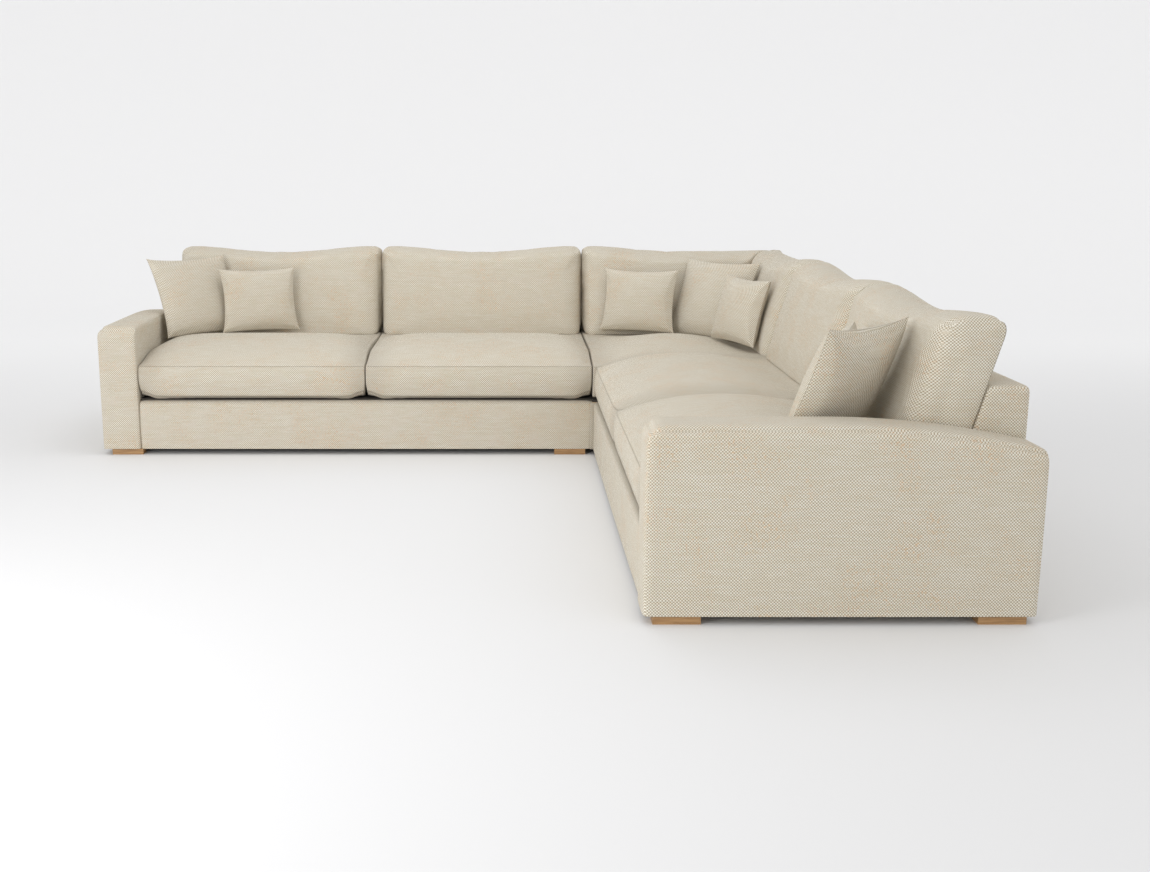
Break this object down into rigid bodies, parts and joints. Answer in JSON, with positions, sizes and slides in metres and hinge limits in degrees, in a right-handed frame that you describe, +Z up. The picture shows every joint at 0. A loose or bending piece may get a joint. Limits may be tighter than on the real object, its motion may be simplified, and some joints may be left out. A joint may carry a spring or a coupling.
{
  "type": "corner sofa",
  "caption": "L-shaped upholstered corner sofa with low arms, loose seat and back cushions, scatter cushions and flat wooden block feet.",
  "frame": {"origin": "on the floor, in the middle of the square that the sofa fills in plan", "axes": "+Z up; the left wing runs along X at the +Y side, the right wing along Y at the +X side; both seats face the open square towards -X and -Y"},
  "size_m": [3.242, 3.242, 0.847],
  "materials": {
    "upholstery": "coarse woven cloth, oatmeal with rust flecks",
    "cushion_cover": "coarse woven cloth, oatmeal with rust flecks",
    "oak": "clear satin lacquer",
    "timber": "planed softwood",
    "webbing": "elastic woven strap",
    "dust_cloth": "thin non-woven cloth",
    "steel": "zinc plated"
  },
  "bodies": {
    "sofa_frame": {"corner_back_cover_left": "upholstery", "corner_back_cover_right": "upholstery", "corner_back_frame_left": "timber", "corner_back_frame_right": "timber", "corner_base_frame": "timber", "corner_dust_cloth": "dust_cloth", "corner_feet": "oak", "corner_foot_bolts": "steel", "corner_seat_deck": "upholstery", "corner_seat_webbing": "webbing", "left_arm_cover": "upholstery", "left_arm_frame": "timber", "left_back_cover": "upholstery", "left_back_frame": "timber", "left_base_frame": "timber", "left_dust_cloth": "dust_cloth", "left_end_panel": "upholstery", "left_feet": "oak", "left_foot_bolts": "steel", "left_front_border": "upholstery", "left_link_sockets": "steel", "left_link_tongues": "steel", "left_seat_deck": "upholstery", "left_seat_webbing": "webbing", "link_screws": "steel", "right_arm_cover": "upholstery", "right_arm_frame": "timber", "right_back_cover": "upholstery", "right_back_frame": "timber", "right_base_frame": "timber", "right_dust_cloth": "dust_cloth", "right_end_panel": "upholstery", "right_feet": "oak", "right_foot_bolts": "steel", "right_front_border": "upholstery", "right_link_sockets": "steel", "right_link_tongues": "steel", "right_seat_deck": "upholstery", "right_seat_webbing": "webbing"},
    "corner_back_cushion_left": {"corner_back_cushion_left": "cushion_cover"},
    "corner_back_cushion_right": {"corner_back_cushion_right": "cushion_cover"},
    "corner_scatter_large": {"corner_scatter_large": "cushion_cover"},
    "corner_scatter_small_left": {"corner_scatter_small_left": "cushion_cover"},
    "corner_scatter_small_right": {"corner_scatter_small_right": "cushion_cover"},
    "corner_seat_cushion": {"corner_seat_cushion": "cushion_cover"},
    "left_back_cushion_end": {"left_back_cushion_end": "cushion_cover"},
    "left_back_cushion_inner": {"left_back_cushion_inner": "cushion_cover"},
    "left_scatter_large": {"left_scatter_large": "cushion_cover"},
    "left_scatter_small": {"left_scatter_small": "cushion_cover"},
    "left_seat_cushion_end": {"left_seat_cushion_end": "cushion_cover"},
    "left_seat_cushion_inner": {"left_seat_cushion_inner": "cushion_cover"},
    "right_back_cushion_end": {"right_back_cushion_end": "cushion_cover"},
    "right_back_cushion_inner": {"right_back_cushion_inner": "cushion_cover"},
    "right_scatter_large": {"right_scatter_large": "cushion_cover"},
    "right_scatter_small": {"right_scatter_small": "cushion_cover"},
    "right_seat_cushion_end": {"right_seat_cushion_end": "cushion_cover"},
    "right_seat_cushion_inner": {"right_seat_cushion_inner": "cushion_cover"}
  },
  "joints": [
    {"name": "left_seat_cushion_end_lift", "type": "slide", "parent": "sofa_frame", "child": "left_seat_cushion_end", "axis": [0, 0, 1], "range_m": [0, 0.6]},
    {"name": "left_seat_cushion_inner_lift", "type": "slide", "parent": "sofa_frame", "child": "left_seat_cushion_inner", "axis": [0, 0, 1], "range_m": [0, 0.6]},
    {"name": "left_back_cushion_end_lift", "type": "slide", "parent": "left_seat_cushion_end", "child": "left_back_cushion_end", "axis": [0, 0.2756, 0.9613], "range_m": [0, 0.5]},
    {"name": "left_back_cushion_inner_lift", "type": "slide", "parent": "left_seat_cushion_inner", "child": "left_back_cushion_inner", "axis": [0, 0.2756, 0.9613], "range_m": [0, 0.5]},
    {"name": "left_scatter_large_lift", "type": "slide", "parent": "left_seat_cushion_end", "child": "left_scatter_large", "axis": [0, 0, 1], "range_m": [0, 0.4]},
    {"name": "left_scatter_small_lift", "type": "slide", "parent": "left_scatter_large", "child": "left_scatter_small", "axis": [0, 0, 1], "range_m": [0, 0.4]},
    {"name": "right_seat_cushion_end_lift", "type": "slide", "parent": "sofa_frame", "child": "right_seat_cushion_end", "axis": [0, 0, 1], "range_m": [0, 0.6]},
    {"name": "right_seat_cushion_inner_lift", "type": "slide", "parent": "sofa_frame", "child": "right_seat_cushion_inner", "axis": [0, 0, 1], "range_m": [0, 0.6]},
    {"name": "right_back_cushion_end_lift", "type": "slide", "parent": "right_seat_cushion_end", "child": "right_back_cushion_end", "axis": [0.2756, 0, 0.9613], "range_m": [0, 0.5]},
    {"name": "right_back_cushion_inner_lift", "type": "slide", "parent": "right_seat_cushion_inner", "child": "right_back_cushion_inner", "axis": [0.2756, 0, 0.9613], "range_m": [0, 0.5]},
    {"name": "right_scatter_large_lift", "type": "slide", "parent": "right_seat_cushion_end", "child": "right_scatter_large", "axis": [0, 0, 1], "range_m": [0, 0.4]},
    {"name": "right_scatter_small_lift", "type": "slide", "parent": "right_scatter_large", "child": "right_scatter_small", "axis": [0, 0, 1], "range_m": [0, 0.4]},
    {"name": "corner_seat_cushion_lift", "type": "slide", "parent": "sofa_frame", "child": "corner_seat_cushion", "axis": [0, 0, 1], "range_m": [0, 0.6]},
    {"name": "corner_back_cushion_left_lift", "type": "slide", "parent": "corner_seat_cushion", "child": "corner_back_cushion_left", "axis": [0, 0.2756, 0.9613], "range_m": [0, 0.5]},
    {"name": "corner_scatter_small_left_lift", "type": "slide", "parent": "corner_scatter_large", "child": "corner_scatter_small_left", "axis": [0, 0, 1], "range_m": [0, 0.4]},
    {"name": "corner_back_cushion_right_lift", "type": "slide", "parent": "corner_seat_cushion", "child": "corner_back_cushion_right", "axis": [0.2756, 0, 0.9613], "range_m": [0, 0.5]},
    {"name": "corner_scatter_small_right_lift", "type": "slide", "parent": "corner_scatter_large", "child": "corner_scatter_small_right", "axis": [0, 0, 1], "range_m": [0, 0.4]},
    {"name": "corner_scatter_large_lift", "type": "slide", "parent": "corner_seat_cushion", "child": "corner_scatter_large", "axis": [0, 0, 1], "range_m": [0, 0.4]}
  ]
}
